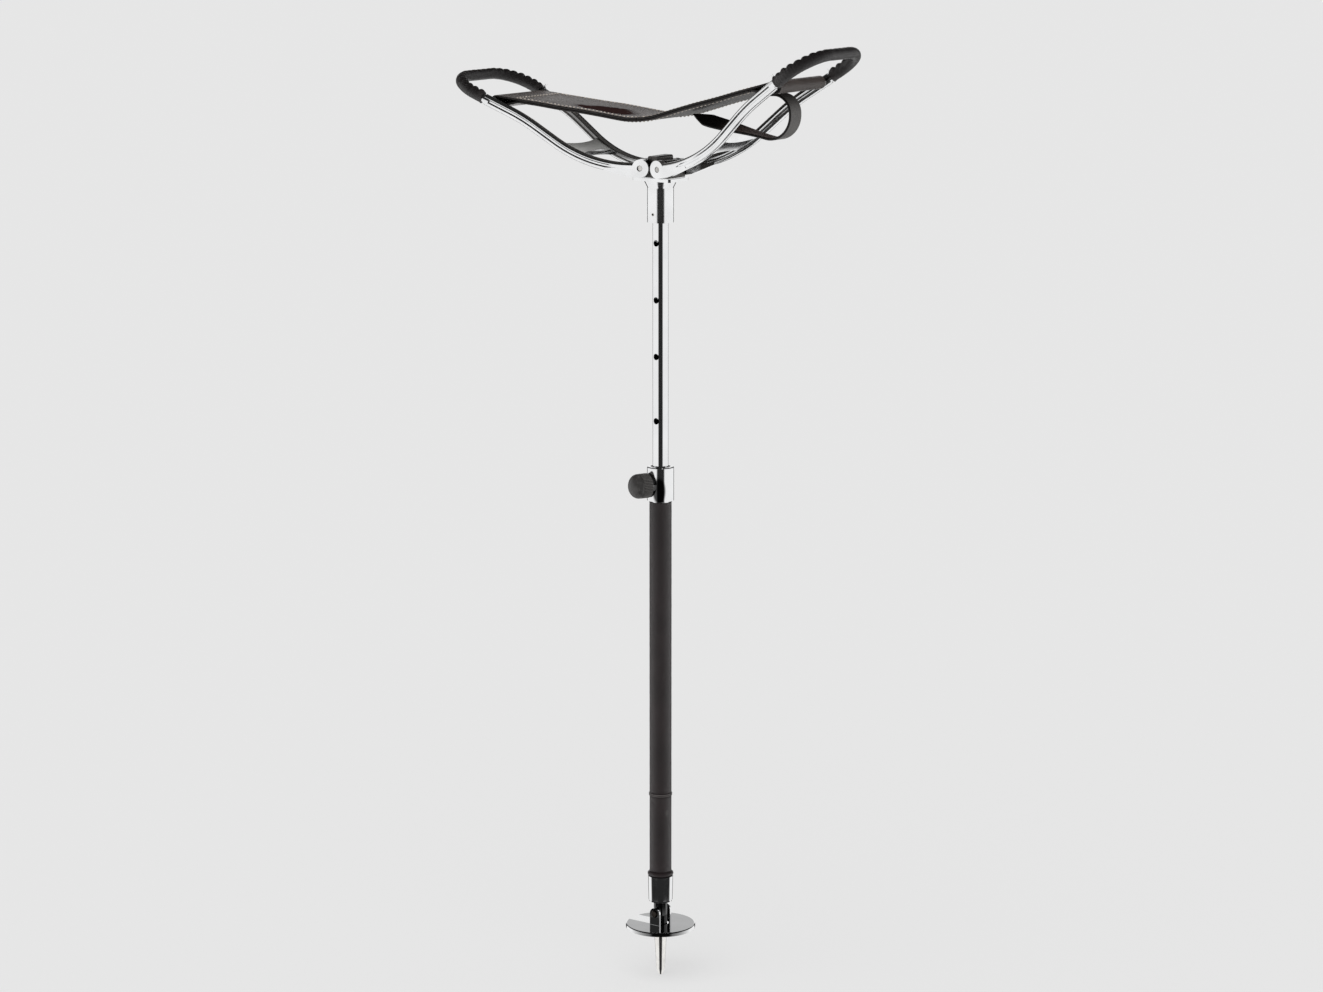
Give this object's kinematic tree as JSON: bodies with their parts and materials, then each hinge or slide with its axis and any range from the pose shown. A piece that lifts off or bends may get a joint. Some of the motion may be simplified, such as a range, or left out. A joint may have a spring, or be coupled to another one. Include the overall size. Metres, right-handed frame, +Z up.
{
  "type": "walking stick seat",
  "caption": "Telescopic walking stick with a ground spike, a folding foot plate, a height lock and a leather sling seat between two folding grip frames.",
  "frame": {"origin": "on the stick axis at the ground plate's underside, which meets the ground when the spike is pushed in", "axes": "+Z up the stick, +X along the seat to the frame that stands higher, -Y to the side of the tube's lock holes"},
  "size_m": [0.4451, 0.1124, 0.9615],
  "materials": {
    "plated_steel": "polished",
    "bare_steel": "satin",
    "polished_alloy": "polished",
    "nylon": "matte",
    "knob_plastic": "semi-gloss",
    "stick_leather": "satin",
    "grip_leather": "satin",
    "seat_leather": "glossy",
    "strap_leather": "satin"
  },
  "bodies": {
    "stick": {"outer_tube": "plated_steel", "end_welt": "stick_leather", "lower_leather_sleeve": "stick_leather", "middle_welt": "stick_leather", "upper_leather_sleeve": "stick_leather", "height_collar": "plated_steel", "collar_bush": "nylon", "plunger_barrel": "bare_steel", "plunger_spring": "bare_steel", "ferrule": "plated_steel", "foot_hub": "plated_steel", "spike": "bare_steel", "plate_pin": "bare_steel"},
    "lock": {"lock_knob": "knob_plastic", "plunger_pin": "bare_steel"},
    "guide": {"lower_guide_bush": "nylon"},
    "upper": {"inner_tube": "plated_steel", "tube_plug": "nylon", "seat_head": "polished_alloy", "head_roll_pin": "bare_steel", "left_hinge_pin": "bare_steel", "right_hinge_pin": "bare_steel", "seat_leather": "seat_leather", "seat_lining": "seat_leather"},
    "left_frame": {"left_frame": "polished_alloy", "left_crossbar": "bare_steel", "left_grip_leather": "grip_leather"},
    "right_frame": {"right_frame": "polished_alloy", "right_crossbar": "bare_steel", "right_grip_leather": "grip_leather", "closing_strap": "strap_leather"},
    "foot_plate": {"ground_plate": "plated_steel"}
  },
  "joints": [
    {"name": "plate_fold", "type": "hinge", "parent": "stick", "child": "foot_plate", "pos_m": [0, 0, 0.0165], "axis": [0, -1, 0], "range_deg": [0, 80]},
    {"name": "lock_pull", "type": "slide", "parent": "stick", "child": "lock", "axis": [-0.4226, -0.9063, 0], "range_m": [0, 0.005], "stiffness_N_per_m": 1200, "springref_m": -0.006, "deforming": ["plunger_spring"]},
    {"name": "height_slide", "type": "slide", "parent": "stick", "child": "guide", "axis": [0, 0, 1], "range_m": [-0.2444, 0]},
    {"name": "seat_swivel", "type": "hinge", "parent": "guide", "child": "upper", "pos_m": [0, 0, 0.5], "axis": [0, 0, 1], "continuous": true},
    {"name": "left_fold", "type": "hinge", "parent": "upper", "child": "left_frame", "pos_m": [-0.0105, 0, 0.7852], "axis": [0, 1, 0], "range_deg": [0, 67.3], "deforming": ["seat_leather", "seat_lining"]},
    {"name": "right_fold", "type": "hinge", "parent": "upper", "child": "right_frame", "pos_m": [0.0105, 0, 0.7852], "axis": [0, -1, 0], "range_deg": [-10.5, 56.8], "deforming": ["seat_leather", "seat_lining"]}
  ]
}
